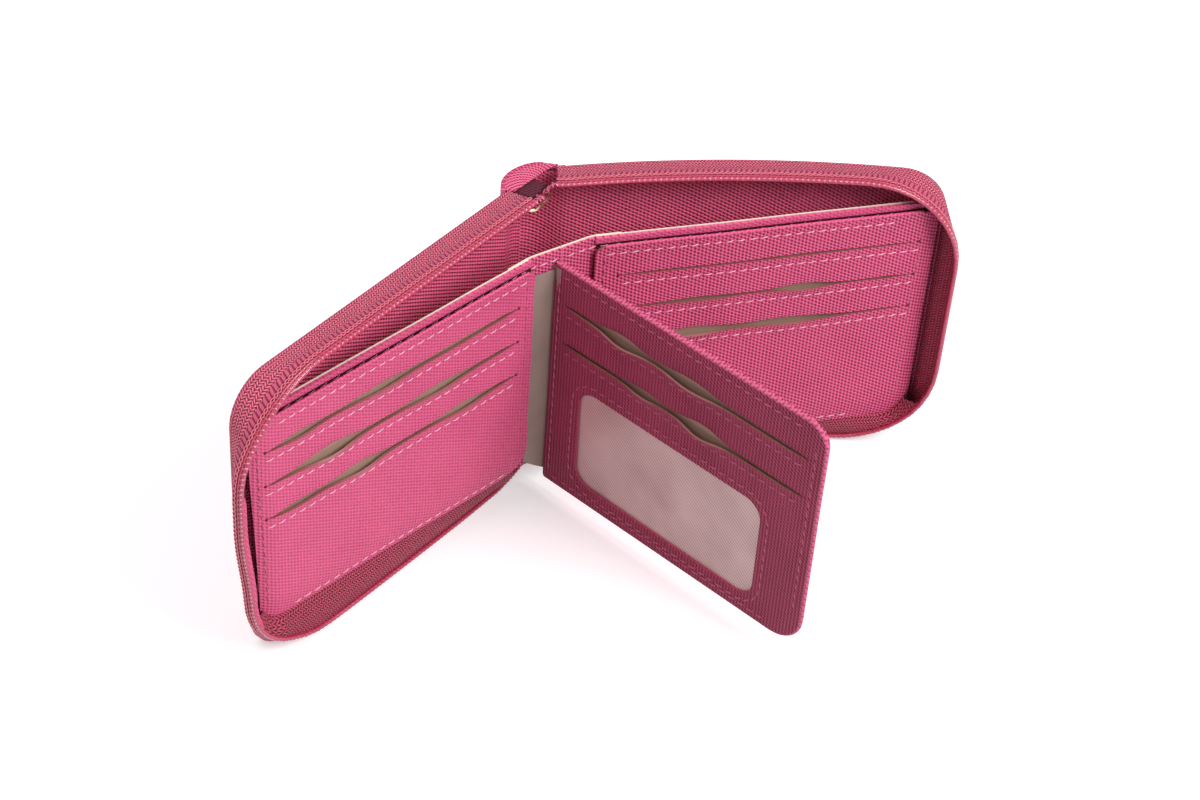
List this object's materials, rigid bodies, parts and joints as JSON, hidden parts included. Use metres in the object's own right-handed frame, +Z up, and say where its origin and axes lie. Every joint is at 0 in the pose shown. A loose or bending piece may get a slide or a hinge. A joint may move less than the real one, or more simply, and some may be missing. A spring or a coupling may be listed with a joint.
{
  "type": "zip-around bifold wallet",
  "caption": "Zip-around bifold wallet standing open on its long edge, with stiff covers, zipper tape walls, slotted card pockets, a note divider and a card flap with a window.",
  "frame": {"origin": "middle of the floor under the open wallet's box, where it stands on its long edge", "axes": "+X to the right of someone looking into the open wallet, from the left leaf to the right leaf; +Y away from them, towards the spine; +Z up along the spine and all the fold lines"},
  "size_m": [0.2318, 0.129, 0.1015],
  "materials": {
    "woven_pink": "pink nylon in a fine dotted basket weave, satin sheen",
    "woven_deep_pink": "the same nylon weave in a deeper shade",
    "zip_tape_rose": "rose zipper tape in a fine twill",
    "nylon_coil": "dyed nylon coil with a cord along it",
    "cream_satin": "cream satin lining",
    "stiffener_board": "plain grey board, hidden",
    "window_film": "milky film over pale cloth",
    "pale_brass": "polished pale brass"
  },
  "bodies": {
    "spine": {"spine_cover": "woven_pink", "spine_lining": "woven_pink", "zip_slider": "pale_brass", "zip_end_left": "nylon_coil", "zip_end_right": "nylon_coil", "zip_tape_tail": "zip_tape_rose"},
    "left_shell": {"cover_left": "woven_pink", "board_left": "stiffener_board", "lining_left": "woven_pink", "zip_tape_left": "zip_tape_rose", "zip_coil_left": "nylon_coil"},
    "right_shell": {"cover_right": "woven_pink", "board_right": "stiffener_board", "lining_right": "woven_pink", "zip_tape_right": "zip_tape_rose", "zip_coil_right": "nylon_coil"},
    "left_pocket": {"card_front_left": "woven_pink", "card_liner_left": "cream_satin", "divider_left": "woven_pink"},
    "right_pocket": {"card_front_right": "woven_pink", "card_liner_right": "cream_satin", "divider_right": "woven_pink"},
    "left_strip": {"divider_fold_left": "woven_pink"},
    "right_strip": {"divider_fold_right": "woven_pink"},
    "id_flap": {"flap_front": "woven_deep_pink", "flap_back": "woven_pink", "id_window": "window_film", "flap_liner": "cream_satin", "flap_hinge_strip": "cream_satin"},
    "zip_pull": {"pull_ring": "pale_brass"}
  },
  "joints": [
    {"name": "left_fold", "type": "hinge", "parent": "spine", "child": "left_shell", "pos_m": [-0.01211, 0.05464, 0], "axis": [0, 0, 1], "range_deg": [-3.8, 77.6]},
    {"name": "right_fold", "type": "hinge", "parent": "spine", "child": "right_shell", "pos_m": [0.01108, 0.05999, 0], "axis": [0, 0, 1], "range_deg": [-52.7, 2.65]},
    {"name": "left_seam", "type": "hinge", "parent": "left_shell", "child": "left_pocket", "pos_m": [-0.1117, -0.0014, 0], "axis": [0, 0, 1], "range_deg": [-0.45, 7.95]},
    {"name": "right_seam", "type": "hinge", "parent": "right_shell", "child": "right_pocket", "pos_m": [0.11054, 0.00837, 0], "axis": [0, 0, 1], "range_deg": [-11.6, 0.65]},
    {"name": "left_strip_fold", "type": "hinge", "parent": "left_pocket", "child": "left_strip", "pos_m": [-0.01314, 0.03218, 0], "axis": [0, 0, 1], "range_deg": [-16.1, 0.88]},
    {"name": "right_strip_fold", "type": "hinge", "parent": "right_pocket", "child": "right_strip", "pos_m": [0.00782, 0.03423, 0], "axis": [0, 0, 1], "range_deg": [-0.3, 4.5]},
    {"name": "flap_fold", "type": "hinge", "parent": "left_strip", "child": "id_flap", "pos_m": [-0.00468, 0.0322, 0], "axis": [0, 0, 1], "range_deg": [-73, 3.67]},
    {"name": "ring_swing", "type": "hinge", "parent": "spine", "child": "zip_pull", "pos_m": [-0.00376, 0.0571, 0.0949], "axis": [0.8387, 0.5446, 0], "range_deg": [-4, 12]}
  ],
  "couplings": [
    {"joint": "right_fold", "follows": "left_fold", "ratio": -0.67835},
    {"joint": "left_seam", "follows": "left_fold", "ratio": 0.10155},
    {"joint": "right_seam", "follows": "left_fold", "ratio": -0.1482},
    {"joint": "left_strip_fold", "follows": "left_fold", "ratio": -0.20619},
    {"joint": "right_strip_fold", "follows": "left_fold", "ratio": 0.056701},
    {"joint": "flap_fold", "follows": "left_fold", "ratio": -0.93943}
  ]
}
